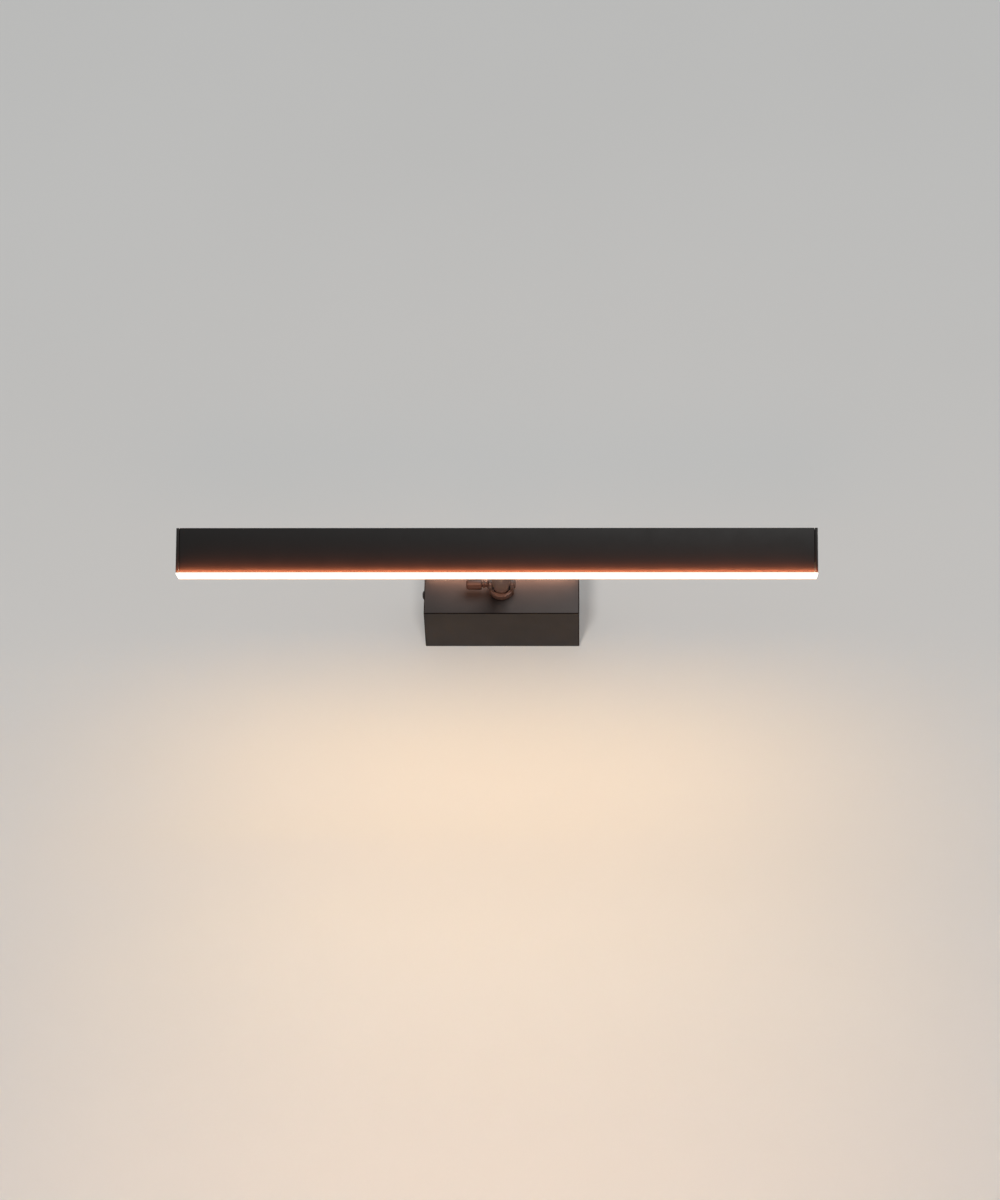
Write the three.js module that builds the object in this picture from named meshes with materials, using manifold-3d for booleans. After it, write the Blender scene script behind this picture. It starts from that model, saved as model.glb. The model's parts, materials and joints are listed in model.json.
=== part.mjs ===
// Vanity light bar: a slim LED bar on a short arm that tilts on a knuckle in front of a wall canopy.
// Millimetres, +Z up. The wall is the plane Y = 0, the front is -Y and X runs along the bar.
// The origin is on the wall, behind the middle of the canopy, level with the knuckle's axis.
import * as THREE from "three";
import { mergeVertices } from "three/addons/utils/BufferGeometryUtils.js";
import Module from "manifold-3d";

const wasm = await Module();
wasm.setup();

// ---- driving dimensions ----
const gap = 0.3; // between pieces that touch
const restTilt = 24; // degrees the arm points below level at rest

const canopy = { width: 114, height: 41, depth: 43.4, wall: 1.5, corner: 0.5, edge: 0.5 };
const bracket = { halfWidth: 55.2, height: 35, thickness: 1.6, earHeight: 14, earReach: 41 };
const wallSlot = { x: 46, width: 5, length: 10 };
const cableEntry = { x: 29, z: -9, holeRadius: 5, boreRadius: 3.6 };
const sideFixing = { y: -37, shankRadius: 1.4, headRadius: 3.3, headHeight: 1.3 };
const plateScrewRadius = 1.3; // of the screws that go into the bracket

const driver = { x0: -36, x1: 14, halfHeight: 15, depth: 20, tab: 6 };
const terminal = { x0: 22, x1: 40, z0: 1, z1: 13, depth: 14 };

const hinge = { standoff: 8, ballRadius: 6.5, ballFlat: 5.2, cupRadius: 9.1, cupHeight: 5 };
const cheek = { inner: 6.6, outer: 9.1, radius: 4.4 };
const pivotRadius = 1.5;
const thumb = { neckRadius: 2.2, collarRadius: 2.9, gripRadius: 4.2, gripStart: 14.4, end: 26 };
const stem = { radius: 3.9, bore: 2.3, length: 9.2 };

const collarThickness = 4; // flange between the arm and the bar
const arm = { radius: 6.5, bore: 4.7, start: 5, spigotRadius: 4.4, spigotLength: 9.5 };
const bar = { length: 450, depth: 22, height: 31.5, wall: 1.6, reach: 133.8, capThickness: 2 };
const web = { top: -7, bottom: -8.6 }; // shelf inside the bar that carries the light board
const ridge = { top: -12, bottom: -13.2, height: 0.6 }; // inside the bar; holds the diffuser's legs
const board = { length: 440, width: 12, thickness: 1.6, packages: 30 };
const diffuser = { thickness: 1, legTop: -11, legInner: 7.9, legOuter: 9.1 };
const boardScrewRadius = 1.1;
const leadRadius = 1.2;
const leadExit = { x: 16 }; // where the lead goes down through the shelf to the board
const capScrew = { offset: 6.8, z: 11.4 };
const boardScrewX = [-12, -4, 4, 12].map((i) => (i * board.length) / board.packages); // between packages
const earthPlace = { x: 43, z: -12 };

// ---- places worked out from them ----
const faceY = -canopy.depth; // front face of the canopy
const cupBackY = faceY - gap;
const hingeY = cupBackY - hinge.standoff;
const plateFrontY = -bracket.thickness; // front of the bracket's plate
const barBackY = bar.depth - bar.reach; // this and the lines below are in the arm's own frame
const barMidY = barBackY - bar.depth / 2;
const barInnerHalf = bar.depth / 2 - bar.wall;
const housingHalfLength = bar.length / 2 - bar.capThickness - gap;

// ---- materials ----
const finish = (color, roughness, metalness = 0) =>
  new THREE.MeshStandardMaterial({ color, roughness, metalness });
const blackPaint = () => finish(0x2a2625, 0.45);
const steel = () => finish(0xb4b6b8, 0.4, 1);
const brass = () => finish(0xb08d4a, 0.35, 1);
const opal = () => new THREE.MeshStandardMaterial({ color: 0xfff4e6, roughness: 0.5, emissive: 0xffe0c0 });

// ---- shape helpers ----
const X = new THREE.Vector3(1, 0, 0);
const Y = new THREE.Vector3(0, 1, 0);
const Z = new THREE.Vector3(0, 0, 1);

function box(x0, x1, y0, y1, z0, z1) {
  const geometry = new THREE.BoxGeometry(x1 - x0, y1 - y0, z1 - z0);
  return geometry.translate((x0 + x1) / 2, (y0 + y1) / 2, (z0 + z1) / 2);
}

function rod(axis, radius, from, to, sides = 24) {
  const geometry = new THREE.CylinderGeometry(radius, radius, to - from, sides);
  geometry.translate(0, (from + to) / 2, 0);
  if (axis === X) geometry.rotateZ(-Math.PI / 2);
  if (axis === Z) geometry.rotateX(Math.PI / 2);
  return geometry;
}

// A turned piece about X or Y from [radius, distance along the axis] points.
function turned(axis, profile, sides = 24) {
  const points = profile.map(([radius, along]) => new THREE.Vector2(radius, along));
  const area = points.reduce((sum, p, i) => {
    const q = points[(i + 1) % points.length];
    return sum + p.x * q.y - q.x * p.y;
  }, 0);
  if (area < 0) points.reverse();
  const onAxis = points[0].x === 0 && points.at(-1).x === 0;
  if (!onAxis) points.push(points[0].clone());
  const geometry = new THREE.LatheGeometry(points, sides);
  if (axis === X) geometry.rotateZ(-Math.PI / 2);
  return geometry;
}

function roundedRect(width, height, radius) {
  const w = width / 2 - radius;
  const h = height / 2 - radius;
  const shape = new THREE.Shape();
  shape.absarc(w, h, radius, 0, Math.PI / 2);
  shape.absarc(-w, h, radius, Math.PI / 2, Math.PI);
  shape.absarc(-w, -h, radius, Math.PI, 1.5 * Math.PI);
  shape.absarc(w, -h, radius, 1.5 * Math.PI, 2 * Math.PI);
  return shape;
}

// An X-Z outline given depth along Y, from y0 back to y1 (y1 > y0).
function plateAlongY(shape, y0, y1, options = {}) {
  const geometry = new THREE.ExtrudeGeometry(shape, {
    depth: y1 - y0,
    bevelEnabled: false,
    curveSegments: 5,
    ...options,
  });
  return geometry.rotateX(Math.PI / 2).translate(0, y1, 0);
}

// A Y-Z outline given length along X.
function barAlongX(shape, x0, x1, curveSegments = 8) {
  const geometry = new THREE.ExtrudeGeometry(shape, { depth: x1 - x0, bevelEnabled: false, curveSegments });
  geometry.applyMatrix4(new THREE.Matrix4().makeBasis(Y, Z, X));
  return geometry.translate(x0, 0, 0);
}

function outline(points) {
  return new THREE.Shape(points.map(([u, v]) => new THREE.Vector2(u, v)));
}

function round(x, y, radius) {
  const path = new THREE.Path();
  path.absarc(x, y, radius, 0, 2 * Math.PI);
  return path;
}

function solid(geometry) {
  const plain = geometry.clone();
  plain.deleteAttribute("normal");
  plain.deleteAttribute("uv");
  const merged = mergeVertices(plain, 1e-4);
  return new wasm.Manifold(
    new wasm.Mesh({
      numProp: 3,
      vertProperties: merged.attributes.position.array,
      triVerts: new Uint32Array(merged.index.array),
    }),
  );
}

function geometryOf(manifold) {
  const result = manifold.getMesh();
  const geometry = new THREE.BufferGeometry();
  geometry.setAttribute("position", new THREE.BufferAttribute(result.vertProperties, 3));
  geometry.setIndex(new THREE.BufferAttribute(result.triVerts, 1));
  const flat = geometry.toNonIndexed();
  flat.computeVertexNormals();
  return flat;
}

function joined(...geometries) {
  return geometryOf(geometries.map(solid).reduce((all, next) => all.add(next)));
}

function cutFrom(geometry, ...tools) {
  return geometryOf(tools.map(solid).reduce((rest, tool) => rest.subtract(tool), solid(geometry)));
}

function lead(points, radius = leadRadius, steps = 28) {
  const path = new THREE.CatmullRomCurve3(
    points.map((p) => new THREE.Vector3(...p)),
    false,
    "centripetal",
  );
  const section = new THREE.Shape();
  section.absarc(0, 0, radius, 0, 2 * Math.PI);
  return new THREE.ExtrudeGeometry(section, { steps, extrudePath: path, curveSegments: 4 });
}

function place(group, name, geometry, material) {
  const mesh = new THREE.Mesh(geometry, material);
  mesh.name = name;
  group.add(mesh);
}

// ---- canopy ----
function canopyCover() {
  const { width, height, depth, wall, corner, edge } = canopy;
  const skin = plateAlongY(
    roundedRect(width - 2 * edge, height - 2 * edge, corner),
    -depth + edge,
    edge,
    { bevelEnabled: true, bevelThickness: edge, bevelSize: edge, bevelSegments: 3 },
  );
  const behindWall = box(-width, width, 0, 5 * edge, -height, height);
  const cavity = plateAlongY(roundedRect(width - 2 * wall, height - 2 * wall, corner), -depth + wall, 1);
  const stemHole = rod(Y, stem.radius + gap, -depth - 1, -depth + wall + 1);
  const left = -width / 2;
  const screwHole = rod(X, sideFixing.shankRadius + 0.4, left - 1, left + wall + 1, 20);
  const tabSlot = box(width / 2 - wall - 1, width / 2 + 1, sideFixing.y - 2.1, sideFixing.y, -4.3, 4.3);
  return cutFrom(skin, behindWall, cavity, stemHole, screwHole.translate(0, sideFixing.y, 0), tabSlot);
}

function wallBracket() {
  const { halfWidth, height, thickness, earHeight, earReach } = bracket;
  const shape = roundedRect(2 * halfWidth, height, 2);
  for (const x of [-wallSlot.x, wallSlot.x]) {
    const slot = new THREE.Path();
    const run = (wallSlot.length - wallSlot.width) / 2;
    slot.absarc(x, run, wallSlot.width / 2, 0, Math.PI);
    slot.absarc(x, -run, wallSlot.width / 2, Math.PI, 2 * Math.PI);
    slot.closePath();
    shape.holes.push(slot);
  }
  shape.holes.push(round(cableEntry.x, cableEntry.z, cableEntry.holeRadius));
  const plate = plateAlongY(shape, -thickness, 0);
  const ear = (x0) => box(x0, x0 + 1.5, -earReach, -thickness / 2, -earHeight / 2, earHeight / 2);
  const tab = box(halfWidth - 0.5, halfWidth + 1.7, sideFixing.y - 1.8, sideFixing.y - 0.3, -4, 4);
  const whole = joined(plate, ear(-halfWidth), ear(halfWidth - 1.5), tab);
  const earHole = rod(X, sideFixing.shankRadius + gap, -halfWidth - 1, -halfWidth + 2.5, 20);
  const screwHole = (x, z) => rod(Y, plateScrewRadius + gap, -thickness - 1, 1, 16).translate(x, 0, z);
  return cutFrom(
    whole,
    earHole.translate(0, sideFixing.y, 0),
    screwHole(driver.x0 - driver.tab / 2, 0),
    screwHole(driver.x1 + driver.tab / 2, 0),
    screwHole((terminal.x0 + terminal.x1) / 2, terminal.z0 + 2.6),
    screwHole(earthPlace.x, earthPlace.z),
  );
}

function cableGrommet() {
  const { holeRadius, boreRadius } = cableEntry;
  const groove = holeRadius - gap;
  const lip = holeRadius + 1.5;
  const front = plateFrontY - gap;
  const profile = [
    [boreRadius, 0],
    [groove, 0],
    [groove, front],
    [lip, front],
    [lip, front - 1.2],
    [boreRadius, front - 1.6],
  ];
  return turned(Y, profile, 24).translate(cableEntry.x, 0, cableEntry.z);
}

// A small screw that goes back into a plate along +Y, its head on the front.
function plateScrew(x, z, headBackY, headRadius = 2.5, shankEndY = -0.2) {
  const profile = [
    [0, headBackY - 1.6],
    [headRadius * 0.6, headBackY - 1.6],
    [headRadius, headBackY - 1],
    [headRadius, headBackY],
    [plateScrewRadius, headBackY],
    [plateScrewRadius, shankEndY],
    [0, shankEndY],
  ];
  const slot = box(-headRadius, headRadius, headBackY - 2, headBackY - 1, -0.3, 0.3);
  return cutFrom(turned(Y, profile, 16), slot).translate(x, 0, z);
}

function ledDriver() {
  const { x0, x1, halfHeight, depth, tab } = driver;
  const back = plateFrontY - gap;
  const caseShape = roundedRect(x1 - x0, 2 * halfHeight, 2);
  const body = plateAlongY(caseShape, back - depth, back).translate((x0 + x1) / 2, 0, 0);
  const tabs = box(x0 - tab, x1 + tab, back - 1.6, back, -5, 5);
  const hole = (x) => rod(Y, plateScrewRadius + gap, back - 3, back + 1, 16).translate(x, 0, 0);
  return cutFrom(joined(body, tabs), hole(x0 - tab / 2), hole(x1 + tab / 2));
}

function terminalBlock() {
  const { x0, x1, z0, z1, depth } = terminal;
  const back = plateFrontY - gap;
  const body = box(x0, x1, back - depth, back, z0, z1);
  const wells = [-6, 0, 6].map((offset) =>
    rod(Y, 1.8, back - depth - 1, back - depth + 5, 16).translate((x0 + x1) / 2 + offset, 0, z1 - 3.4),
  );
  const fixing = rod(Y, plateScrewRadius + gap, back - depth - 1, back + 1, 16);
  return cutFrom(body, ...wells, fixing.translate((x0 + x1) / 2, 0, z0 + 2.6));
}

function sideScrew() {
  const { y, shankRadius, headRadius, headHeight } = sideFixing;
  const headX = -canopy.width / 2 - gap;
  const profile = [
    [0, headX - headHeight],
    [headRadius * 0.5, headX - headHeight * 0.9],
    [headRadius * 0.85, headX - headHeight * 0.55],
    [headRadius, headX],
    [shankRadius, headX],
    [shankRadius, headX + 7],
    [0, headX + 7],
  ];
  const slot = box(headX - 2, headX - headHeight / 2, -0.35, 0.35, -headRadius, headRadius);
  return cutFrom(turned(X, profile, 20), slot).translate(0, y, 0);
}

function mainsLead(y, z0, z1) {
  const start = driver.x1 + gap;
  const end = terminal.x0 - gap;
  const middle = (start + end) / 2;
  const points = [
    [start, y, z0],
    [start + 1.5, y - 0.4, z0],
    [middle, y - 1.4, (z0 + z1) / 2],
    [end - 1.5, y - 0.4, z1],
    [end, y, z1],
  ];
  return lead(points, 0.9, 12);
}

// ---- knuckle ----
function hingeBase() {
  const { standoff, cupRadius, cupHeight } = hinge;
  const at = (distance) => cupBackY - distance; // distance in front of the cup's back
  const floor = 1.2;
  const recess = 6.9;
  const turnedCup = turned(
    Y,
    [
      [stem.bore, at(-stem.length)],
      [stem.radius, at(-stem.length)],
      [stem.radius, at(0)],
      [cupRadius, at(0)],
      [cupRadius, at(cupHeight - 0.7)],
      [cupRadius - 0.7, at(cupHeight)],
      [recess, at(cupHeight)],
      [recess, at(floor)],
      [stem.bore, at(floor)],
    ],
    36,
  );
  const tab = new THREE.Shape();
  tab.moveTo(at(0.6), -cheek.radius);
  tab.lineTo(at(0.6), cheek.radius);
  tab.lineTo(at(standoff), cheek.radius);
  tab.absarc(at(standoff), 0, cheek.radius, Math.PI / 2, 1.5 * Math.PI);
  tab.holes.push(round(at(standoff), 0, pivotRadius + gap));
  const left = barAlongX(tab, -cheek.outer, -cheek.inner, 12);
  const right = barAlongX(tab, cheek.inner, cheek.outer, 12);
  return joined(turnedCup, left, right);
}

function ring(axis, inner, outer, from, to, sides = 20) {
  return turned(axis, [[inner, from], [outer, from], [outer, to], [inner, to]], sides);
}

function hexNut(acrossFlats, bore, y0, y1) {
  const corner = acrossFlats / Math.sqrt(3);
  const shape = new THREE.Shape();
  for (let i = 0; i < 6; i += 1) {
    const angle = (i * Math.PI) / 3;
    const point = [corner * Math.cos(angle), corner * Math.sin(angle)];
    if (i === 0) shape.moveTo(...point);
    else shape.lineTo(...point);
  }
  shape.holes.push(round(0, 0, bore));
  return plateAlongY(shape, y0, y1, { curveSegments: 8 });
}

function thumbScrew() {
  const { neckRadius, collarRadius, gripRadius, gripStart, end } = thumb;
  const neck = cheek.outer + gap;
  const collar = (from) => [
    [neckRadius, -from],
    [collarRadius, -from - 0.2],
    [collarRadius, -from - 1.2],
    [neckRadius, -from - 1.4],
  ];
  const profile = [
    [0, -3.6],
    [pivotRadius, -3.6],
    [pivotRadius, -neck],
    [collarRadius, -neck],
    [collarRadius, -neck - 1],
    [neckRadius, -neck - 1.2],
    ...collar(neck + 2.6),
    [neckRadius, -gripStart],
    [gripRadius - 0.4, -gripStart - 0.1],
    [gripRadius, -gripStart - 0.9],
    [gripRadius, -end + 2.2],
    [gripRadius - 0.5, -end + 0.9],
    [gripRadius - 1.5, -end + 0.2],
    [0, -end],
  ];
  return turned(X, profile, 24).translate(0, hingeY, 0);
}

function pivotScrew() {
  const headX = cheek.outer + gap;
  const profile = [
    [0, 3.6],
    [pivotRadius, 3.6],
    [pivotRadius, headX],
    [3.8, headX],
    [3.8, headX + 0.7],
    [3.2, headX + 1.2],
    [0, headX + 1.3],
  ];
  const slot = box(headX + 0.7, headX + 2, -0.4, 0.4, -5, 5);
  return cutFrom(turned(X, profile, 24), slot).translate(0, hingeY, 0);
}

// ---- arm, in its own frame: the knuckle's axis at the origin, the arm along -Y ----
function armKnuckle() {
  const { ballRadius, ballFlat } = hinge;
  const bore = 2.2;
  const first = Math.asin(bore / ballRadius);
  const last = Math.PI - Math.asin(arm.spigotRadius / ballRadius);
  const steps = 9;
  const profile = [];
  for (let i = 0; i <= steps; i += 1) {
    const angle = first + ((last - first) * i) / steps;
    profile.push([ballRadius * Math.sin(angle), ballRadius * Math.cos(angle)]);
  }
  const spigotEnd = -arm.start - arm.spigotLength;
  profile.push([arm.spigotRadius, spigotEnd], [bore, spigotEnd]);
  const leadSlot = box(-1.7, 1.7, 0, ballRadius + 1, -ballRadius - 1, ballRadius + 1);
  const flats = [-1, 1].map((side) =>
    box(ballFlat, ballRadius + 1, -arm.start, ballRadius + 1, -7, 7).rotateY(side > 0 ? 0 : Math.PI),
  );
  const pivotHole = (x0, x1) => rod(X, pivotRadius + 0.4, x0, x1, 20);
  return cutFrom(turned(Y, profile, 28), leadSlot, ...flats, pivotHole(-7, -3.1), pivotHole(3.1, 7));
}

function headCollar() {
  const front = barBackY + gap;
  const back = front + collarThickness;
  const spigotRadius = 4;
  const profile = [
    [stem.bore, back + 8.5],
    [arm.spigotRadius, back + 8.5],
    [arm.spigotRadius, back],
    [8.7, back],
    [9.5, back - 0.8],
    [9.5, front],
    [spigotRadius, front],
    [spigotRadius, front - 7.3],
    [stem.bore, front - 7.3],
  ];
  return turned(Y, profile, 28);
}

function barHousing() {
  const out = bar.depth / 2;
  const inn = barInnerHalf;
  const top = bar.height / 2;
  const side = (s) => [
    [s * inn, -top],
    [s * inn, ridge.bottom],
    [s * (inn - ridge.height), ridge.bottom + 0.3],
    [s * (inn - ridge.height), ridge.top - 0.3],
    [s * inn, ridge.top],
    [s * inn, web.bottom],
  ];
  const corners = [[-out, -top], [-out, top], [out, top], [out, -top]];
  const shape = outline([...corners, ...side(1), ...side(-1).reverse()]);
  const ceiling = top - bar.wall;
  const block = 5.6; // square blocks in the top corners that take the end cap screws
  const chamber = new THREE.Path(
    [
      [-inn, web.top],
      [inn, web.top],
      [inn, ceiling - block],
      [inn - block, ceiling - block],
      [inn - block, ceiling],
      [block - inn, ceiling],
      [block - inn, ceiling - block],
      [-inn, ceiling - block],
    ].map(([u, v]) => new THREE.Vector2(u, v)),
  );
  shape.holes.push(chamber);
  for (const u of [-capScrew.offset, capScrew.offset]) shape.holes.push(round(u, capScrew.z, 1.6));
  const extrusion = barAlongX(shape, -housingHalfLength, housingHalfLength, 6).translate(0, barMidY, 0);
  const armHole = rod(Y, 4.3, barBackY - 4, barBackY + 1);
  const leadHole = rod(Z, 2.4, web.bottom - 1, web.top + 1, 16).translate(leadExit.x, barMidY, 0);
  const screwHoles = boardScrewX.map((x) =>
    rod(Z, boardScrewRadius + gap, web.bottom - 1, web.top + 1, 16).translate(x, barMidY, 0),
  );
  return cutFrom(extrusion, armHole, leadHole, ...screwHoles);
}

function endCap(side) {
  const inside = bar.length / 2 - bar.capThickness;
  const outside = bar.length / 2;
  const plate = box(inside, outside, barMidY - bar.depth / 2, barBackY, -bar.height / 2, bar.height / 2);
  const sinkProfile = [
    [0, inside - 1],
    [1.6, inside - 1],
    [1.6, inside + 0.5],
    [3.4, outside + 0.3],
    [0, outside + 0.3],
  ];
  const sinks = [-capScrew.offset, capScrew.offset].map((u) =>
    turned(X, sinkProfile, 20).translate(0, barMidY + u, capScrew.z),
  );
  const cap = cutFrom(plate, ...sinks);
  return side > 0 ? cap : cap.rotateZ(Math.PI).translate(0, 2 * barMidY, 0);
}

function endCapScrew(side, u) {
  const inside = bar.length / 2 - bar.capThickness;
  const outside = bar.length / 2;
  const profile = [
    [0, inside - 9],
    [1.25, inside - 9],
    [1.25, inside + 0.6],
    [2.7, outside - 0.1],
    [0, outside - 0.1],
  ];
  const slot = box(outside - 0.8, outside + 1, -0.3, 0.3, -3, 3);
  const screw = cutFrom(turned(X, profile, 20), slot);
  if (side < 0) screw.rotateZ(Math.PI);
  return screw.translate(0, barMidY + u, capScrew.z);
}

function lightBoard() {
  const { length, width, thickness, packages } = board;
  const top = web.bottom - 0.2;
  const under = top - thickness;
  const strip = box(-length / 2, length / 2, barMidY - width / 2, barMidY + width / 2, under, top);
  const pitch = length / packages;
  const parts = [strip];
  for (let i = 0; i < packages; i += 1) {
    const x = -length / 2 + pitch * (i + 0.5);
    parts.push(box(x - 1.8, x + 1.8, barMidY - 1.4, barMidY + 1.4, under - 0.7, under + 0.2));
  }
  const hole = (x) => rod(Z, boardScrewRadius + gap, under - 2, top + 1, 16).translate(x, barMidY, 0);
  return cutFrom(joined(...parts), ...boardScrewX.map(hole));
}

function boardScrew(x) {
  const under = web.bottom - 0.2 - board.thickness - gap;
  const head = rod(Z, 2.1, under - 1.1, under, 16);
  const shank = rod(Z, boardScrewRadius, under - 0.5, web.top + 2, 16);
  return joined(head, shank).translate(x, barMidY, 0);
}

function opalDiffuser() {
  const { thickness, legTop, legInner, legOuter } = diffuser;
  const lip = -bar.height / 2 - 0.25;
  const notch = legOuter - ridge.height;
  const out = bar.depth / 2;
  const plate = box(
    -bar.length / 2,
    bar.length / 2,
    barMidY - out,
    barMidY + out,
    lip - thickness,
    lip,
  );
  const leg = (s) =>
    barAlongX(
      outline([
        [s * legInner, lip - thickness / 2],
        [s * legOuter, lip - thickness / 2],
        [s * legOuter, ridge.bottom - gap],
        [s * notch, ridge.bottom],
        [s * notch, ridge.top],
        [s * legOuter, ridge.top + gap],
        [s * legOuter, legTop],
        [s * legInner, legTop],
      ]),
      -housingHalfLength,
      housingHalfLength,
    ).translate(0, barMidY, 0);
  return joined(plate, leg(1), leg(-1));
}

// ---- leads ----
function canopyLead() {
  const endY = hingeY + 0.7;
  return lead([
    [driver.x1 + 2 * gap, -17, -6],
    [17, -18, -6],
    [18.4, -22, -5.2],
    [15, -26, -3.6],
    [9, -28.3, -1.8],
    [3.6, -29.6, -0.5],
    [0.8, -32, 0],
    [0, -36, 0],
    [0, -42, 0],
    [0, endY, 0],
  ]);
}

function headLead() {
  return lead([
    [0, -0.7, 0],
    [0, -30, 0],
    [0, -60, 0],
    [0, -90, 0],
    [0, barBackY - 1, 0],
    [0, barMidY + 3, 0],
    [2, barMidY - 0.6, -0.2],
    [6.5, barMidY - 1.8, -0.6],
    [12, barMidY - 1, -1.8],
    [15.4, barMidY, -4],
    [leadExit.x, barMidY, -6],
    [leadExit.x, barMidY, web.bottom + 0.1],
  ]);
}

// ---- assembly ----
const lightBar = new THREE.Group();

place(lightBar, "canopy_cover", canopyCover(), blackPaint());
place(lightBar, "wall_bracket", wallBracket(), steel());
place(lightBar, "cable_grommet", cableGrommet(), finish(0x1c1c1c, 0.9));
place(lightBar, "led_driver", ledDriver(), finish(0xe8e8e4, 0.6));
place(lightBar, "driver_screw_left", plateScrew(driver.x0 - driver.tab / 2, 0, plateFrontY - 2.2), steel());
place(lightBar, "driver_screw_right", plateScrew(driver.x1 + driver.tab / 2, 0, plateFrontY - 2.2), steel());
place(lightBar, "terminal_block", terminalBlock(), finish(0xdedcd2, 0.6));
place(
  lightBar,
  "terminal_screw",
  plateScrew((terminal.x0 + terminal.x1) / 2, terminal.z0 + 2.6, plateFrontY - terminal.depth - 0.6, 2.2),
  steel(),
);
place(lightBar, "earth_screw", plateScrew(earthPlace.x, earthPlace.z, plateFrontY - gap, 3), brass());
place(lightBar, "live_lead", mainsLead(-14, 7, 10), finish(0x6a3a20, 0.7));
place(lightBar, "neutral_lead", mainsLead(-9, 3, 6), finish(0x2b4f8c, 0.7));
place(lightBar, "canopy_lead", canopyLead(), finish(0xcfcfcf, 0.7));
place(lightBar, "side_screw", sideScrew(), blackPaint());
place(lightBar, "hinge_base", hingeBase(), blackPaint());
place(
  lightBar,
  "lock_washer",
  ring(Y, stem.radius + gap, 8, faceY + canopy.wall + gap, faceY + canopy.wall + gap + 0.8),
  steel(),
);
place(
  lightBar,
  "stem_nut",
  hexNut(13, stem.radius + gap, faceY + canopy.wall + 1.4, faceY + canopy.wall + 5.4),
  brass(),
);
for (const [name, side] of [["left", -1], ["right", 1]]) {
  const inner = side * (hinge.ballFlat + gap);
  const outer = side * (cheek.inner - gap);
  const washer = ring(X, pivotRadius + gap, 3.6, Math.min(inner, outer), Math.max(inner, outer));
  place(lightBar, `friction_washer_${name}`, washer.translate(0, hingeY, 0), finish(0x1c1c1c, 0.5));
}
place(lightBar, "thumb_screw", thumbScrew(), blackPaint());
place(lightBar, "pivot_screw", pivotScrew(), blackPaint());

const head = new THREE.Group();
head.position.set(0, hingeY, 0);
head.rotation.x = THREE.MathUtils.degToRad(restTilt);
lightBar.add(head);

place(head, "arm_knuckle", armKnuckle(), blackPaint());
const tubeEnd = barBackY + gap + collarThickness + gap;
place(head, "arm_tube", ring(Y, arm.bore, arm.radius, tubeEnd, -arm.start, 28), blackPaint());
place(head, "head_collar", headCollar(), blackPaint());
place(head, "collar_washer", ring(Y, 4.3, 6.6, barBackY - bar.wall - 1.1, barBackY - bar.wall - gap), steel());
place(head, "collar_nut", hexNut(12, 4.3, barBackY - bar.wall - 4.4, barBackY - bar.wall - 1.4), steel());
place(head, "bar_housing", barHousing(), blackPaint());
for (const [name, side] of [["left", -1], ["right", 1]]) {
  place(head, `end_cap_${name}`, endCap(side), blackPaint());
  for (const [where, u] of [["front", -capScrew.offset], ["back", capScrew.offset]]) {
    place(head, `cap_screw_${name}_${where}`, endCapScrew(side, u), blackPaint());
  }
}
place(head, "light_board", lightBoard(), finish(0xf2f2ee, 0.5));
boardScrewX.forEach((x, i) => place(head, `board_screw_${i + 1}`, boardScrew(x), steel()));
place(head, "opal_diffuser", opalDiffuser(), opal());
place(head, "head_lead", headLead(), finish(0xcfcfcf, 0.7));

export default lightBar;
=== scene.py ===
"""Vanity light bar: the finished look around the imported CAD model.

Metres, +Z up, the wall at Y = 0, the front towards -Y. Piece meshes are built in millimetres and scaled.
"""

import json
import math

import bmesh
import bpy
from mathutils import Matrix, Vector


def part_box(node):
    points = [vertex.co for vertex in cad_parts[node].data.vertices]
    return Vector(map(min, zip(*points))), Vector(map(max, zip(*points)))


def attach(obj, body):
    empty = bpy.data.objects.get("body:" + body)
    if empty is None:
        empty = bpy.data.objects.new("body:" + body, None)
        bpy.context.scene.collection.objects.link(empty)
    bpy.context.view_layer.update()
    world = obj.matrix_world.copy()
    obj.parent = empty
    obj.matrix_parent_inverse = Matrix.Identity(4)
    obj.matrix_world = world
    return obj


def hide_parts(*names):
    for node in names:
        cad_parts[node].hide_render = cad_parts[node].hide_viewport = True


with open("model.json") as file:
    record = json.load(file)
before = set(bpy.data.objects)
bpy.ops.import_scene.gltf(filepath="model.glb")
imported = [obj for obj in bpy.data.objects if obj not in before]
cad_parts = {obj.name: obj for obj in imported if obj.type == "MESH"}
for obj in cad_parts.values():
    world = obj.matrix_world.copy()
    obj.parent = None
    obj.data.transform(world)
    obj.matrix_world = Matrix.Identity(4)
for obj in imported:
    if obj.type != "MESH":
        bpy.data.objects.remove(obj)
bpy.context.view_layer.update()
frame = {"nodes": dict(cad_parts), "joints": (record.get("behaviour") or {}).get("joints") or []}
MM = 0.001

# ---- places read from the frame ----
JOINTS = {joint["name"]: joint for joint in frame["joints"]}
HINGE = Vector(JOINTS["arm_tilt"]["pos_m"])
X_AXIS = Vector((1, 0, 0))


def middle(node):
    low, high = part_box(node)
    return (low + high) / 2


# The arm's own frame, as in the CAD source: origin on the knuckle's axis, X right, the arm along -Y.
ALONG = (middle("head_collar") - HINGE).normalized()
ARM_UP = X_AXIS.cross(-ALONG).normalized()
ARM = Matrix.Translation(HINGE) @ Matrix((X_AXIS, -ALONG, ARM_UP)).transposed().to_4x4()
KNUCKLE = Matrix.Translation(HINGE)

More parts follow.
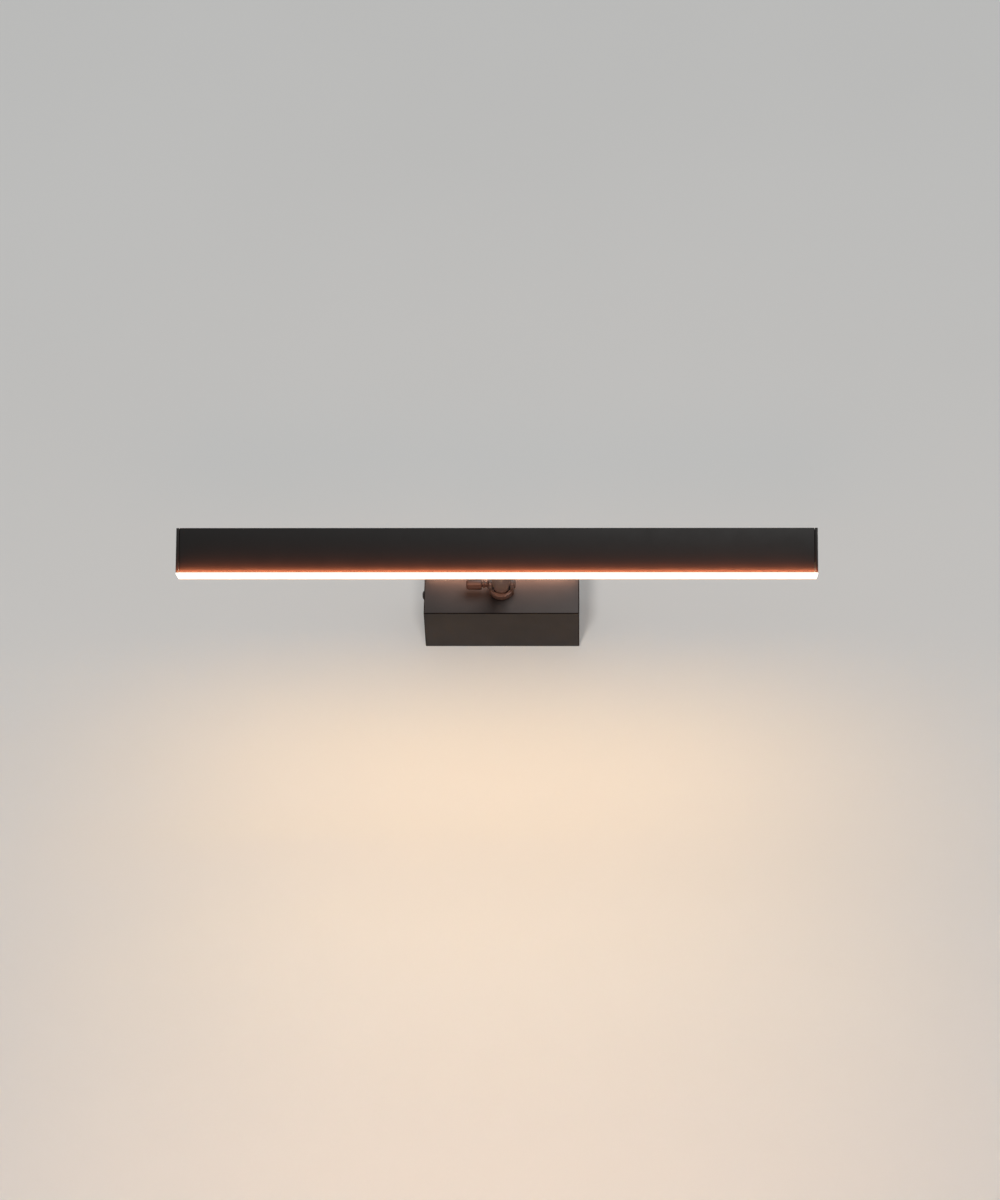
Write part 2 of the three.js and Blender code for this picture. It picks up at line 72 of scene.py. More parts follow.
# ---- sizes, in millimetres as in the CAD source ----
SIDE_SCREW_Y = -37
SIDE_SCREW_RADIUS = 3.3
PIVOT_RADIUS = 1.5
PIVOT_TIP = 3.6  # how near the middle the two pivot screws reach
PIVOT_HEAD = 9.4  # where the heads of both start
CUP_RADIUS = 9.1
CUP_BACK = 8.0  # the cup's back and front, behind the knuckle's axis
CUP_FRONT = 3.0
CHEEK_RADIUS = 4.4
LEAD_BORE = 2.3
SPIGOT_RADIUS = 4.4
SPIGOT_END = 14.5
BALL_RADIUS = 6.5
BALL_FLAT = 5.2
ARM_RADIUS = 6.5
ARM_BORE = 4.7
ARM_START = 5
FLANGE_RADIUS = 9.5
FLANGE_THICKNESS = 4


def box_in(node, place):
    """Lowest and highest corner of a CAD node in the frame given by place."""
    back = place.inverted()
    points = [back @ v.co for v in frame["nodes"][node].data.vertices]
    low = Vector([min(p[i] for p in points) for i in range(3)])
    high = Vector([max(p[i] for p in points) for i in range(3)])
    return low, high


# ---- camera ----
def make_camera():
    """Long lens, below the bar and a little to its right."""
    elevation = math.radians(-34.04)
    azimuth = math.radians(1.9)
    distance = 2.852
    look_at = Vector((-0.0011, -0.0414, -0.0072))
    back = Vector(
        (
            math.sin(azimuth) * math.cos(elevation),
            -math.cos(azimuth) * math.cos(elevation),
            math.sin(elevation),
        )
    )
    up = X_AXIS.cross(-back).normalized()
    side = (-back).cross(up)
    data = bpy.data.cameras.new("camera")
    data.sensor_width = 36
    data.lens = 116.3
    camera = bpy.data.objects.new("camera", data)
    bpy.context.scene.collection.objects.link(camera)
    turn = Matrix((side, up, back)).transposed().to_4x4()
    camera.matrix_world = Matrix.Translation(look_at + back * distance) @ turn
    bpy.context.scene.camera = camera


# ---- material helpers ----
def new_material(name):
    material = bpy.data.materials.new(name)
    material.use_nodes = True
    tree = material.node_tree
    return material, tree, tree.nodes["Principled BSDF"]


def noise(tree, scale, detail=4.0, roughness=0.5, stretch=(1, 1, 1)):
    """Noise fixed to the piece; scale is in cycles per metre."""
    place = tree.nodes.new("ShaderNodeTexCoord")
    mapping = tree.nodes.new("ShaderNodeMapping")
    mapping.inputs["Scale"].default_value = stretch
    texture = tree.nodes.new("ShaderNodeTexNoise")
    texture.inputs["Scale"].default_value = scale
    texture.inputs["Detail"].default_value = detail
    texture.inputs["Roughness"].default_value = roughness
    tree.links.new(place.outputs["Object"], mapping.inputs["Vector"])
    tree.links.new(mapping.outputs["Vector"], texture.inputs["Vector"])
    return texture.outputs["Fac"]


def ramp(tree, source, low, high):
    """From low to high as the source goes from 0.3 to 0.7; a number stands for a grey."""
    node = tree.nodes.new("ShaderNodeValToRGB")
    for element, position, value in zip(node.color_ramp.elements, (0.3, 0.7), (low, high)):
        element.position = position
        rgb = value if isinstance(value, tuple) else (value, value, value)
        element.color = (*rgb, 1)
    tree.links.new(source, node.inputs["Fac"])
    return node.outputs["Color"]


def vary(tree, shader, socket, source, low, high):
    """Drives one socket of the shader from low to high by the source."""
    tree.links.new(ramp(tree, source, low, high), shader.inputs[socket])


def bump(tree, shader, height, strength, distance):
    node = tree.nodes.new("ShaderNodeBump")
    node.inputs["Strength"].default_value = strength
    node.inputs["Distance"].default_value = distance
    tree.links.new(height, node.inputs["Height"])
    tree.links.new(node.outputs["Normal"], shader.inputs["Normal"])


def scaled(colour, factor):
    return tuple(c * factor for c in colour)


# ---- materials ----
def powder_coat(name, tint, rough, shine=0.5, grain=2400):
    """Satin powder coat: a fine orange peel and slightly uneven gloss."""
    material, tree, shader = new_material(name)
    vary(tree, shader, "Base Color", noise(tree, 34, 5), scaled(tint, 0.92), scaled(tint, 1.1))
    vary(tree, shader, "Roughness", noise(tree, 90, 6, 0.6), rough - 0.04, rough + 0.06)
    shader.inputs["Specular IOR Level"].default_value = shine
    bump(tree, shader, noise(tree, grain, 2), 0.16, 0.00012)
    return material


def metal(name, dark, light, rough, stretch=(1, 1, 14)):
    """Bare metal with fine marks and patchy gloss."""
    material, tree, shader = new_material(name)
    shader.inputs["Metallic"].default_value = 1
    marks = noise(tree, 420, 4, 0.6, stretch)
    vary(tree, shader, "Base Color", marks, dark, light)
    vary(tree, shader, "Roughness", noise(tree, 160, 5), rough - 0.08, rough + 0.1)
    bump(tree, shader, marks, 0.12, 0.00005)
    return material


def plastic(name, tint, rough=0.5):
    """Moulded plastic or rubber with a fine grain."""
    material, tree, shader = new_material(name)
    vary(tree, shader, "Base Color", noise(tree, 60), scaled(tint, 0.88), tint)
    vary(tree, shader, "Roughness", noise(tree, 200), rough - 0.06, rough + 0.08)
    bump(tree, shader, noise(tree, 1500, 2), 0.12, 0.0001)
    return material


def math_node(tree, operation, first, *rest):
    node = tree.nodes.new("ShaderNodeMath")
    node.operation = operation
    tree.links.new(first, node.inputs[0])
    for i, value in enumerate(rest):
        node.inputs[i + 1].default_value = value
    return node.outputs["Value"]


def opal(middle_y):
    """Frosted opal acrylic, lit from inside to a burnt-out white, warmer and dimmer along its back edge.

    The ramp's 0.3 and 0.7 fall 7.0 and 8.8 mm behind the strip's middle line.
    """
    material, tree, shader = new_material("opal_lit")
    frost = noise(tree, 900, 3)
    vary(tree, shader, "Base Color", frost, (0.86, 0.8, 0.72), (0.92, 0.87, 0.8))
    shader.inputs["Roughness"].default_value = 0.38
    place = tree.nodes.new("ShaderNodeTexCoord")
    across = tree.nodes.new("ShaderNodeSeparateXYZ")
    tree.links.new(place.outputs["Object"], across.inputs["Vector"])
    offset = math_node(tree, "ADD", across.outputs["Y"], -middle_y)
    edge = math_node(tree, "MULTIPLY_ADD", offset, 220, -1.24)
    vary(tree, shader, "Emission Color", edge, (1.0, 0.9, 0.8), (0.6, 0.32, 0.18))
    shader.inputs["Emission Strength"].default_value = 1.3
    bump(tree, shader, frost, 0.08, 0.00004)
    return material


def room_paint(name, tint):
    """Paint that shows from the room's side only, so that the back of the light can be looked at."""
    material, tree, shader = new_material(name)
    vary(tree, shader, "Base Color", noise(tree, 3, 3), scaled(tint, 0.985), scaled(tint, 1.01))
    shader.inputs["Roughness"].default_value = 0.9
    bump(tree, shader, noise(tree, 140, 5, 0.6), 0.05, 0.0004)
    clear = tree.nodes.new("ShaderNodeBsdfTransparent")
    side = tree.nodes.new("ShaderNodeNewGeometry")
    mix = tree.nodes.new("ShaderNodeMixShader")
    tree.links.new(side.outputs["Backfacing"], mix.inputs["Fac"])
    tree.links.new(shader.outputs["BSDF"], mix.inputs[1])
    tree.links.new(clear.outputs["BSDF"], mix.inputs[2])
    tree.links.new(mix.outputs["Shader"], tree.nodes["Material Output"].inputs["Surface"])
    return material


# ---- mesh helpers, all in millimetres of the piece's own frame ----
def box_mesh(x, y, z):
    """Closed box from three (from, to) pairs."""
    mesh = bmesh.new()
    bmesh.ops.create_cube(mesh, size=1)
    for vertex in mesh.verts:
        vertex.co = Vector([pair[0] if c < 0 else pair[1] for c, pair in zip(vertex.co, (x, y, z))])
    return mesh


def round_corners(points, radius, steps):
    """Rounds each corner of a closed list of 2-D points into steps + 1 points."""
    rounded = []
    for i, corner in enumerate(points):
        corner = Vector(corner)
        before = Vector(points[i - 1])
        after = Vector(points[(i + 1) % len(points)])
        reach = min(radius, (before - corner).length * 0.45, (after - corner).length * 0.45)
        start = corner + (before - corner).normalized() * reach
        end = corner + (after - corner).normalized() * reach
        for step in range(steps + 1):
            t = step / steps
            rounded.append(start.lerp(corner, t).lerp(corner.lerp(end, t), t))
    return rounded


def lathe_mesh(profile, axis, radius=0.25, sides=72):
    """Turned solid about X or Y, from (radius, along) points whose corners are rounded."""
    steps = 4
    points = round_corners(profile, radius, steps)
    closed_on_axis = profile[0][0] == 0 and profile[-1][0] == 0
    if closed_on_axis:
        between = points[steps + 1 : -steps - 1]
        points = [Vector(profile[0]), *between, Vector(profile[-1])]
    mesh = bmesh.new()
    rings = []
    for r, along in points:
        if r < 1e-6:
            rings.append([mesh.verts.new((along, 0, 0) if axis == "X" else (0, along, 0))])
            continue
        ring = []
        for side in range(sides):
            a = 2 * math.pi * side / sides
            across, up = r * math.cos(a), r * math.sin(a)
            ring.append(mesh.verts.new((along, across, up) if axis == "X" else (across, along, up)))
        rings.append(ring)
    pairs = list(zip(rings, rings[1:]))
    if not closed_on_axis:
        pairs.append((rings[-1], rings[0]))
    for one, two in pairs:
        for side in range(sides):
            after = side + 1
            here = [one[side % len(one)], one[after % len(one)]]
            there = [two[after % len(two)], two[side % len(two)]]
            mesh.faces.new(list(dict.fromkeys(here + there)))
    bmesh.ops.recalc_face_normals(mesh, faces=mesh.faces)
    return mesh


def hole_mesh(axis, radius, start, end, centre=(0, 0, 0)):
    """Round cutter along X or Y."""
    mesh = lathe_mesh([(0, start), (radius, start), (radius, end), (0, end)], axis, 0.01, 48)
    bmesh.ops.translate(mesh, vec=centre, verts=mesh.verts)
    return mesh


def prism_mesh(points, x0, x1):
    """Y-Z outline given length along X."""
    mesh = bmesh.new()
    face = mesh.faces.new([mesh.verts.new((x0, y, z)) for y, z in points])
    made = bmesh.ops.extrude_face_region(mesh, geom=[face])
    moved = [v for v in made["geom"] if isinstance(v, bmesh.types.BMVert)]
    bmesh.ops.translate(mesh, vec=(x1 - x0, 0, 0), verts=moved)
    bmesh.ops.recalc_face_normals(mesh, faces=mesh.faces)
    return mesh


def to_object(name, mesh, place):
    data = bpy.data.meshes.new(name)
    bmesh.ops.scale(mesh, vec=(MM, MM, MM), verts=mesh.verts)
    mesh.to_mesh(data)
    mesh.free()
    obj = bpy.data.objects.new(name, data)
    bpy.context.scene.collection.objects.link(obj)
    obj.matrix_world = place
    return obj


def bake(obj):
    """Applies the modifiers to the mesh."""
    bpy.context.view_layer.update()
    graph = bpy.context.evaluated_depsgraph_get()
    data = bpy.data.meshes.new_from_object(obj.evaluated_get(graph))
    obj.modifiers.clear()
    obj.data = data


def cut(obj, *tools):
    """Subtracts closed meshes, given in the same frame as obj."""
    for mesh in tools:
        tool = to_object("cutter", mesh, obj.matrix_world.copy())
        modifier = obj.modifiers.new("cut", "BOOLEAN")
        modifier.operation = "DIFFERENCE"
        modifier.solver = "EXACT"
        modifier.object = tool
        bake(obj)
        bpy.data.objects.remove(tool)


def bevel(obj, width, segments=3, angle=35, material=-1):
    """Rounds edges sharper than the angle, over a width in millimetres."""
    modifier = obj.modifiers.new("bevel", "BEVEL")
    modifier.width = width * MM
    modifier.segments = segments
    modifier.limit_method = "ANGLE"
    modifier.angle_limit = math.radians(angle)
    modifier.material = material
    bake(obj)


def shade(obj, angle=35):
    """Smooth, apart from edges sharper than the angle."""
    obj.data.shade_smooth()
    obj.data.set_sharp_from_angle(angle=math.radians(angle))


def merge(obj, *others):
    """Adds the meshes of the others to obj as further shells; all are in the same frame."""
    mesh = bmesh.new()
    for each in (obj, *others):
        mesh.from_mesh(each.data)
    mesh.to_mesh(obj.data)
    mesh.free()
    for each in others:
        bpy.data.objects.remove(each)


def finish_piece(obj, body, nodes, material=None):
    """Rides on the body and stands for the CAD nodes; the material is for pieces that have none yet."""
    if material:
        obj.data.materials.clear()
        obj.data.materials.append(material)
    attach(obj, body)
    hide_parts(*nodes)


def spans(node, place):
    """(from, to) pairs of a CAD node's box in millimetres of the frame given by place."""
    low, high = box_in(node, place)
    return [(low[i] / MM, high[i] / MM) for i in range(3)]


# ---- canopy ----
def canopy_shell(paint, edge_shade_paint):
    """Folded box, open to the wall. Its rounded bends carry a darker paint: painted shade along the
    edges.
    """
    x, y, z = spans("canopy_cover", Matrix())
    wall = 1.5
    stem_hole_radius = 4.2
    screw_hole_radius = 1.8
    shell = to_object("canopy_shell", box_mesh(x, (y[0], 8), z), Matrix())
    shell.data.materials.append(paint)
    shell.data.materials.append(edge_shade_paint)
    # The bevels take the second material, a darker paint: painted shade on the rounded edges.
    bevel(shell, 0.6, material=1)
    behind_wall = box_mesh((x[0] - 5, x[1] + 5), (0, 20), (z[0] - 5, z[1] + 5))
    cavity = box_mesh((x[0] + wall, x[1] - wall), (y[0] + wall, 5), (z[0] + wall, z[1] - wall))
    stem_hole = hole_mesh("Y", stem_hole_radius, y[0] - 1, y[0] + 3)
    screw_hole = hole_mesh("X", screw_hole_radius, x[0] - 1, x[0] + 3, (0, SIDE_SCREW_Y, 0))
    tab_slot = box_mesh((x[1] - 3, x[1] + 1), (SIDE_SCREW_Y - 2.1, SIDE_SCREW_Y), (-4.3, 4.3))
    cut(shell, behind_wall, cavity, stem_hole, screw_hole, tab_slot)
    shade(shell)
    finish_piece(shell, "canopy", ["canopy_cover"])


def side_screw(paint):
    """Slotted dome head on a plain shank."""
    x, _, _ = spans("side_screw", Matrix())
    shank_radius = 1.4
    half_slot = 0.35
    head = x[0] + 1.3
    profile = [
        (0, x[0]),
        (1.7, x[0] + 0.14),
        (2.8, x[0] + 0.6),
        (SIDE_SCREW_RADIUS, head),
        (shank_radius, head),
        (shank_radius, x[1]),
        (0, x[1]),
    ]
    place = Matrix.Translation((0, SIDE_SCREW_Y * MM, 0))
    screw = to_object("side_screw_dome", lathe_mesh(profile, "X", 0.4), place)
    cut(screw, box_mesh((x[0] - 1, x[0] + 0.65), (-half_slot, half_slot), (-4, 4)))
    bevel(screw, 0.08, 2)
    shade(screw)
    finish_piece(screw, "canopy", ["side_screw"], paint)


# ---- knuckle ----
def hinge_cup(paint):
    """Round cup with its hollow stem and the two cheeks that hold the ball."""
    stem_radius = 3.9
    stem_end = CUP_BACK + 9.2
    recess_radius = 6.9
    recess_floor = CUP_BACK - 1.2
    cheek_inside = 6.6
    cheek_root = 7.4
    profile = [
        (LEAD_BORE, stem_end),
        (stem_radius, stem_end),
        (stem_radius, CUP_BACK),
        (CUP_RADIUS, CUP_BACK),
        (CUP_RADIUS, CUP_FRONT),
        (recess_radius, CUP_FRONT),
        (recess_radius, recess_floor),
        (LEAD_BORE, recess_floor),
    ]
    cup = to_object("hinge_cup", lathe_mesh(profile, "Y", 0.7), KNUCKLE)
    shade(cup, 40)
    for side in (-1, 1):
        outline = [(cheek_root, -CHEEK_RADIUS), (cheek_root, CHEEK_RADIUS)]
        for step in range(25):
            a = math.pi / 2 + math.pi * step / 24
            outline.append((CHEEK_RADIUS * math.cos(a), CHEEK_RADIUS * math.sin(a)))
        plate = prism_mesh(outline, cheek_inside * side, CUP_RADIUS * side)
        cheek = to_object("cheek", plate, KNUCKLE)
        cut(cheek, hole_mesh("X", PIVOT_RADIUS + 0.3, 5 * side, 11 * side))
        bevel(cheek, 0.35)
        shade(cheek)
        merge(cup, cheek)
    finish_piece(cup, "canopy", ["hinge_base"], paint)


def thumb_screw(paint):
    """Shank, ringed neck and round grip."""
    neck = 2.2
    ring = 2.9
    grip = 4.2
    profile = [
        (0, -PIVOT_TIP),
        (PIVOT_RADIUS, -PIVOT_TIP),
        (PIVOT_RADIUS, -PIVOT_HEAD),
        (ring, -PIVOT_HEAD),
        (ring, -10.5),
        (neck, -10.6),
        (neck, -12),
        (ring, -12.1),
        (ring, -13.3),
        (neck, -13.4),
        (neck, -14.4),
        (grip, -14.5),
        (grip, -24.4),
        (grip - 1, -25.8),
        (0, -26),
    ]
    screw = to_object("thumb_screw_grip", lathe_mesh(profile, "X", 0.5), KNUCKLE)
    shade(screw, 50)
    finish_piece(screw, "thumb_screw", ["thumb_screw"], paint)


def pivot_screw(paint):
    """Slotted disc head on a plain shank."""
    head = 3.8
    half_slot = 0.4
    profile = [
        (0, PIVOT_TIP),
        (PIVOT_RADIUS, PIVOT_TIP),
        (PIVOT_RADIUS, PIVOT_HEAD),
        (head, PIVOT_HEAD),
        (head, PIVOT_HEAD + 0.8),
        (3, PIVOT_HEAD + 1.25),
        (0, PIVOT_HEAD + 1.3),
    ]
    screw = to_object("pivot_screw_head", lathe_mesh(profile, "X", 0.3), KNUCKLE)
    cut(screw, box_mesh((PIVOT_HEAD + 0.7, PIVOT_HEAD + 2.6), (-half_slot, half_slot), (-5, 5)))
    bevel(screw, 0.08, 2)
    shade(screw)
    finish_piece(screw, "canopy", ["pivot_screw"], paint)


# ---- arm ----
def arm_ball(paint):
    """Ball with two flats, a slot for the lead and the spigot that fills the arm's end."""
    first = math.asin(LEAD_BORE / BALL_RADIUS)
    last = math.pi - math.asin(SPIGOT_RADIUS / BALL_RADIUS)
    profile = []
    for step in range(25):
        a = first + (last - first) * step / 24
        profile.append((BALL_RADIUS * math.sin(a), BALL_RADIUS * math.cos(a)))
    profile += [(SPIGOT_RADIUS, -SPIGOT_END), (LEAD_BORE, -SPIGOT_END)]
    ball = to_object("arm_ball", lathe_mesh(profile, "Y", 0.1), ARM)
    half_slot = 1.7
    far = BALL_RADIUS + 2.5
    lead_slot = box_mesh((-half_slot, half_slot), (0, far), (-far, far))
    left = box_mesh((-far, -BALL_FLAT), (-ARM_START, far), (-far, far))
    right = box_mesh((BALL_FLAT, far), (-ARM_START, far), (-far, far))
    hole_left = hole_mesh("X", PIVOT_RADIUS + 0.4, -7, -3.1)
    hole_right = hole_mesh("X", PIVOT_RADIUS + 0.4, 3.1, 7)
    cut(ball, lead_slot, left, right, hole_left, hole_right)
    shade(ball)
    finish_piece(ball, "arm_head", ["arm_knuckle"], paint)


def arm_sleeve(paint):
    """Plain tube from the knuckle to the collar."""
    _, y, _ = spans("arm_tube", ARM)
    profile = [
        (ARM_BORE, y[1]),
        (ARM_RADIUS, y[1]),
        (ARM_RADIUS, y[0]),
        (ARM_BORE, y[0]),
    ]
    tube = to_object("arm_sleeve", lathe_mesh(profile, "Y", 0.5), ARM)
    shade(tube, 50)
    finish_piece(tube, "arm_head", ["arm_tube"], paint)


def collar(paint):
    """Flange against the bar's back, with a spigot into the arm and a stem into the bar."""
    front = spans("bar_housing", ARM)[1][1] + 0.3
    back = front + FLANGE_THICKNESS
    stem_radius = 4
    stem_end = front - 7.3
    profile = [
        (LEAD_BORE, back + 8.5),
        (SPIGOT_RADIUS, back + 8.5),
        (SPIGOT_RADIUS, back),
        (FLANGE_RADIUS, back),
        (FLANGE_RADIUS, front),
        (stem_radius, front),
        (stem_radius, stem_end),
        (LEAD_BORE, stem_end),
    ]
    flange = to_object("collar_flange", lathe_mesh(profile, "Y", 0.6), ARM)
    shade(flange, 50)
    finish_piece(flange, "arm_head", ["head_collar"], paint)


# ---- bar ----
def bar_body(paint):
    """Extrusion with a chamber above its shelf and an open recess below."""
    x, y, z = spans("bar_housing", ARM)
    wall = 1.6
    shelf_top = -7
    shelf_bottom = -8.6
    body = to_object("bar_body", box_mesh(x, y, z), ARM)
    inside = (y[0] + wall, y[1] - wall)
    over = (x[0] - 5, x[1] + 5)
    chamber = box_mesh(over, inside, (shelf_top, z[1] - wall))
    recess = box_mesh(over, inside, (z[0] - 5, shelf_bottom))
    arm_hole = hole_mesh("Y", 4.3, y[1] - 3, y[1] + 2)
    cut(body, chamber, recess, arm_hole)
    bevel(body, 0.35)
    shade(body)
    finish_piece(body, "arm_head", ["bar_housing"], paint)


def end_cap(side, paint):
    """Flat plate with two countersinks; side is -1 for the left and 1 for the right."""
    name = "left" if side < 0 else "right"
    hole_radius = 1.6
    sink_radius = 3.4
    x, y, z = spans(f"end_cap_{name}", ARM)
    cap = to_object(f"end_cap_plate_{name}", box_mesh(x, y, z), ARM)
    inner, outer = (x[1], x[0]) if side < 0 else x
    for place in ("front", "back"):
        _, across, up = spans(f"cap_screw_{name}_{place}", ARM)
        centre = (0, sum(across) / 2, sum(up) / 2)
        sink = lathe_mesh(
            [
                (0, inner - side),
                (hole_radius, inner - side),
                (hole_radius, inner + 0.5 * side),
                (sink_radius, outer + 0.3 * side),
                (0, outer + 0.3 * side),
            ],
            "X",
            0.01,
            48,
        )
        bmesh.ops.translate(sink, vec=centre, verts=sink.verts)
        cut(cap, sink)
    bevel(cap, 0.3)
    shade(cap)
    finish_piece(cap, "arm_head", [f"end_cap_{name}"], paint)


def diffuser(glow):
    """Opal strip over the whole underside, with two legs that snap into the bar."""
    x, y, z = spans("opal_diffuser", ARM)
    plate = to_object("opal_strip", box_mesh(x, y, (z[0], z[0] + 1)), ARM)
    bevel(plate, 0.3)
    shade(plate)
    centre = sum(y) / 2
    leg_inside = 7.9
    leg_outside = 9.1
    for side in (-1, 1):
        across = sorted((centre + leg_inside * side, centre + leg_outside * side))
        along = (x[0] + 2.3, x[1] - 2.3)
        leg = to_object("leg", box_mesh(along, across, (z[0] + 0.5, z[1])), ARM)
        bevel(leg, 0.2)
        shade(leg)
        merge(plate, leg)
    finish_piece(plate, "arm_head", ["opal_diffuser"], glow)


# ---- stage and lights ----
def stage_plane(name, corners, material):
    """Four-cornered plane that belongs to the room and casts no shadow."""
    mesh = bpy.data.meshes.new(name)
    mesh.from_pydata(corners, [], [(0, 1, 2, 3)])
    mesh.materials.append(material)
    plane = bpy.data.objects.new(name, mesh)
    bpy.context.scene.collection.objects.link(plane)
    plane.visible_shadow = False


def make_stage():
    """Wall just behind the canopy, and a floor far below."""
    half = 6.0
    top = 4.0
    floor = -5.0
    room = 10.0
    back = 0.0004
    stage_plane(
        "wall",
        [(-half, back, floor), (half, back, floor), (half, back, top), (-half, back, top)],
        room_paint("wall_paint", (0.72, 0.72, 0.715)),
    )
    stage_plane(
        "floor",
        [(-half, -room, floor), (half, -room, floor), (half, room, floor), (-half, room, floor)],
        room_paint("floor_paint", (0.09, 0.085, 0.08)),
    )


def area_light(name, place, target, size, power, colour=(1, 1, 1), spread=180):
    """Soft rectangle whose long side lies along X; the camera doesn't see it."""
    data = bpy.data.lights.new(name, "AREA")
    data.shape = "RECTANGLE"
    data.size, data.size_y = size
    data.energy = power
    data.color = colour
    data.spread = math.radians(spread)
    light = bpy.data.objects.new(name, data)
    bpy.context.scene.collection.objects.link(light)
    light.location = place
    light.rotation_euler = (Vector(target) - Vector(place)).to_track_quat("-Z", "Y").to_euler()
    light.visible_camera = False
    return light


def group_of(label, names):
    """Collection used for light linking only."""
    group = bpy.data.collections.new(label)
    for name in names:
        group.objects.link(bpy.data.objects[name])
    return group


def shine_only_on(light, *names):
    light.light_linking.receiver_collection = group_of(f"lit_by_{light.name}", names)


def shaded_only_by(light, *names):
    light.light_linking.blocker_collection = group_of(f"shading_{light.name}", names)


def direction(azimuth, elevation):
    """Unit vector from the object into the room; azimuth 0 is straight out, positive to the right."""
    a = math.radians(azimuth)
    e = math.radians(elevation)
    return Vector((math.sin(a) * math.cos(e), -math.cos(a) * math.cos(e), math.sin(e)))


def arm_point(y, z):
    """A point of the arm's own frame, given in millimetres, in the room."""
    return ARM @ Vector((0, y * MM, z * MM))


KNUCKLE_PIECES = (
    "hinge_cup",
    "thumb_screw_grip",
    "pivot_screw_head",
    "arm_ball",
    "arm_sleeve",
)
CANOPY_PIECES = ("canopy_shell", "side_screw_dome")
BAR_PIECES = ("bar_body", "end_cap_plate_left", "end_cap_plate_right")
ROOM_PIECES = ("wall", "floor")


def world_light():
    """Faint even light from all round."""
    world = bpy.data.worlds.new("room")
    bpy.context.scene.world = world
    world.use_nodes = True
    background = world.node_tree.nodes["Background"]
    background.inputs["Color"].default_value = (1, 1, 1, 1)
    background.inputs["Strength"].default_value = 0.25


def room_lights():
    """Low windows for the wall, a soft light on the object from above, and one for its back."""
    window_distance = 14
    windows = (
        ("window_left", -13, 600, (1, 1, 0.98), True),
        ("window_right", 10, 330, (0.99, 1, 1), True),
        ("window_fill", 10, 240, (0.99, 1, 1), False),
    )
    for name, azimuth, power, colour, shadow in windows:
        start = direction(azimuth, -30) * window_distance
        light = area_light(name, start, (0, 0, 0), (2.5, 2.5), power, colour)
        light.data.use_shadow = shadow
        shine_only_on(light, *ROOM_PIECES)
        shaded_only_by(light, *CANOPY_PIECES, *KNUCKLE_PIECES)
    start = direction(22, 24) * 4
    front = area_light("front_soft", start, (0, 0, 0), (3.2, 3.2), 108, (1, 0.98, 0.96))
    shine_only_on(front, *CANOPY_PIECES, *KNUCKLE_PIECES, *BAR_PIECES, "collar_flange")
    area_light("behind", (-1.4, 2.6, 1.2), (0, 0, 0), (1.6, 1.6), 24)


def led_lights():
    """The light of the strip, which rides on the arm: on the wall, the bar's lip, knuckle and arm."""
    x, y, z = spans("opal_diffuser", ARM)
    centre = sum(y) / 2
    under = z[0] - 0.4
    strip = ((x[1] - x[0]) * MM, 0.018)
    thin = (strip[0], 0.001)
    edge = (strip[0], 0.002)
    start = arm_point(centre, under)
    down_at = arm_point(centre - 4, under - 100)
    wash_at = arm_point(centre - 60, under - 100)
    lip_start = arm_point(y[0] - 1.9, z[0] + 1)
    lip_at = arm_point(y[0] + 48, z[0] + 51)
    back_start = arm_point(y[1] + 1, z[0])
    below_start = (0, -0.3, -0.42)
    down = area_light("led_down", start, down_at, strip, 0.33, (1, 0.54, 0.13))
    wash = area_light("led_wash", start, wash_at, strip, 0.55, (1, 0.74, 0.44), 110)
    lip = area_light("led_lip", lip_start, lip_at, thin, 0.13, (1, 0.27, 0.11))
    back = area_light("led_back_edge", back_start, HINGE, edge, 0.42, (1, 0.5, 0.34))
    below = area_light("arm_from_below", below_start, HINGE, (0.2, 0.2), 3.2, (1, 0.62, 0.48))
    shine_only_on(lip, *BAR_PIECES)
    shine_only_on(back, *KNUCKLE_PIECES)
    shine_only_on(below, "arm_ball", "arm_sleeve")
    for light in (down, wash, lip, back, below):
        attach(light, "arm_head")


def reflected_lights():
    """Warm light thrown back: on the canopy's front and knuckle, and low on the wall."""
    face = spans("canopy_cover", Matrix())[1][0] * MM
    start = (0, face - 0.007, 0.016)
    end = (0, face, 0.008)
    spill = area_light("led_spill", start, end, (0.112, 0.003), 0.022, (1, 0.5, 0.32))
    shine_only_on(spill, *CANOPY_PIECES, *KNUCKLE_PIECES)
    shaded_only_by(spill, "canopy_shell", "hinge_cup")
    start = (0, -0.75, -0.85)
    end = (0, 0, -0.62)
    bounce = area_light("basin_bounce", start, end, (0.45, 0.3), 0.8, (1, 0.5, 0.18), 100)
    shine_only_on(bounce, *ROOM_PIECES)


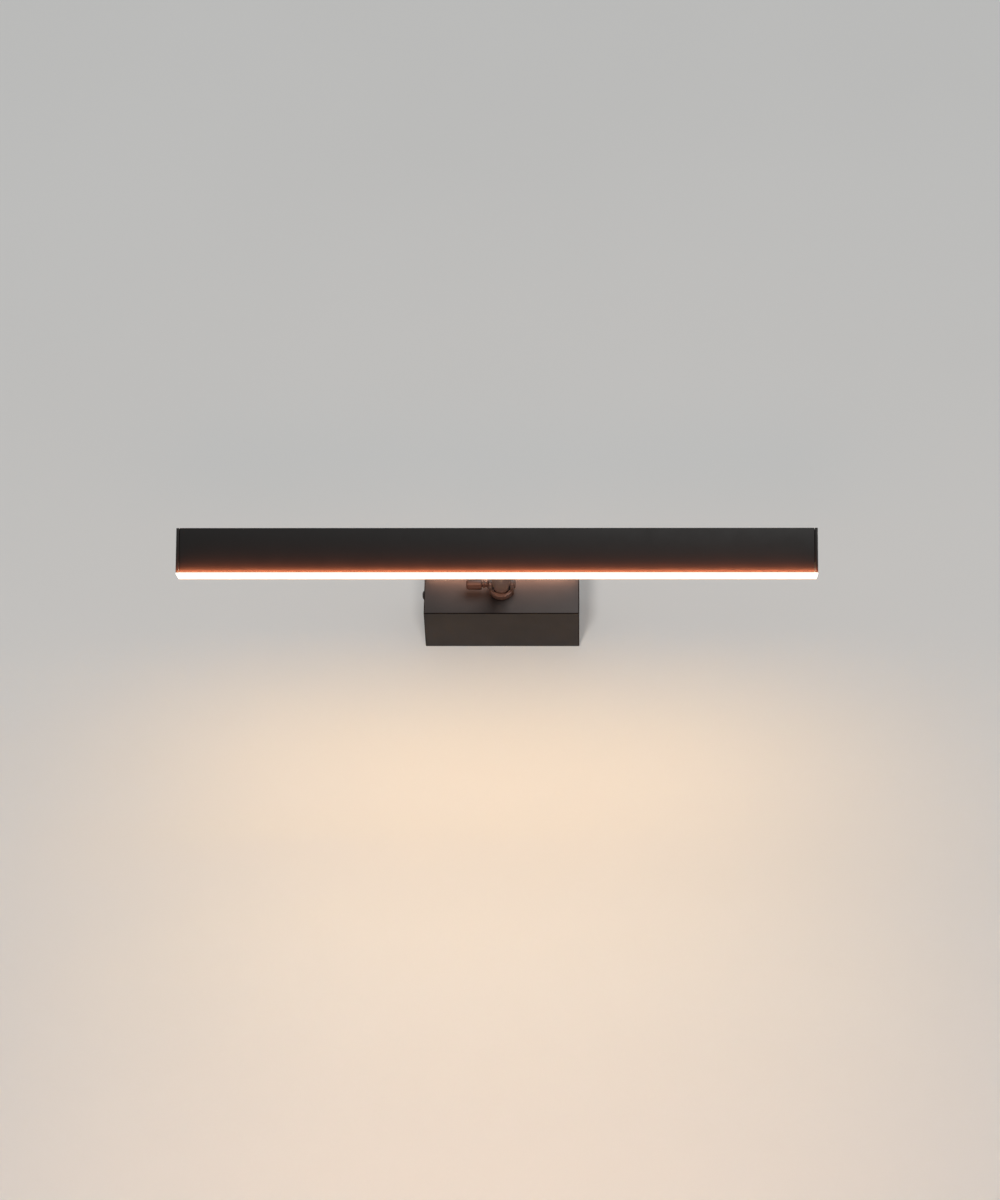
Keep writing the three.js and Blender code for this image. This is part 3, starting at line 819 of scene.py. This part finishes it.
# ---- all together ----
def dress_cad_nodes():
    """A material for every CAD node; those that a piece stands for are hidden anyway."""
    steel = metal("zinc_plate", (0.42, 0.43, 0.44), (0.62, 0.62, 0.61), 0.36)
    yellow = metal("brass", (0.45, 0.29, 0.11), (0.72, 0.52, 0.23), 0.3)
    white = plastic("white_plastic", (0.8, 0.8, 0.78))
    nylon = plastic("nylon", (0.82, 0.81, 0.74), 0.45)
    grey = plastic("grey_jacket", (0.42, 0.42, 0.42), 0.55)
    black = plastic("black_nylon", (0.03, 0.03, 0.03), 0.5)
    looks = {
        "stem_nut": yellow,
        "earth_screw": yellow,
        "led_driver": white,
        "terminal_block": nylon,
        "friction_washer_left": black,
        "friction_washer_right": black,
        "light_board": plastic("white_board", (0.8, 0.8, 0.79), 0.4),
        "cable_grommet": plastic("grommet_rubber", (0.03, 0.03, 0.03), 0.8),
        "live_lead": plastic("brown_wire", (0.16, 0.07, 0.03)),
        "neutral_lead": plastic("blue_wire", (0.03, 0.1, 0.32)),
        "canopy_lead": grey,
        "head_lead": grey,
    }
    for name, node in frame["nodes"].items():
        look = BAR_PAINT if name.startswith("cap_screw") else looks.get(name, steel)
        node.data.materials.clear()
        node.data.materials.append(look)


CANOPY_PAINT = powder_coat("canopy_paint", (0.08, 0.067, 0.063), 0.45, 0.16)
# Darker, redder paint for the canopy's rounded edges: painted shade.
CANOPY_EDGE_SHADE = powder_coat("canopy_edge_shade", (0.016, 0.009, 0.007), 0.55, 0.08)
BAR_PAINT = powder_coat("bar_paint", (0.0125, 0.0105, 0.0098), 0.55, 0.4)
KNUCKLE_PAINT = powder_coat("knuckle_paint", (0.078, 0.061, 0.055), 0.34, 0.4)
# A warmer, redder copy of the knuckle paint: painted warm light from the strip on the thumb screw.
THUMB_WARM_LIT_PAINT = powder_coat("thumb_paint_warm_lit", (0.07, 0.04, 0.03), 0.34, 0.4)

make_camera()
make_stage()
dress_cad_nodes()
canopy_shell(CANOPY_PAINT, CANOPY_EDGE_SHADE)
side_screw(CANOPY_PAINT)
hinge_cup(KNUCKLE_PAINT)
thumb_screw(THUMB_WARM_LIT_PAINT)
pivot_screw(KNUCKLE_PAINT)
arm_ball(KNUCKLE_PAINT)
arm_sleeve(KNUCKLE_PAINT)
collar(KNUCKLE_PAINT)
bar_body(BAR_PAINT)
end_cap(-1, BAR_PAINT)
end_cap(1, BAR_PAINT)
diffuser(opal(MM * sum(spans("opal_diffuser", ARM)[1]) / 2))
world_light()
room_lights()
led_lights()
reflected_lights()

bpy.context.scene.view_settings.view_transform = "Standard"
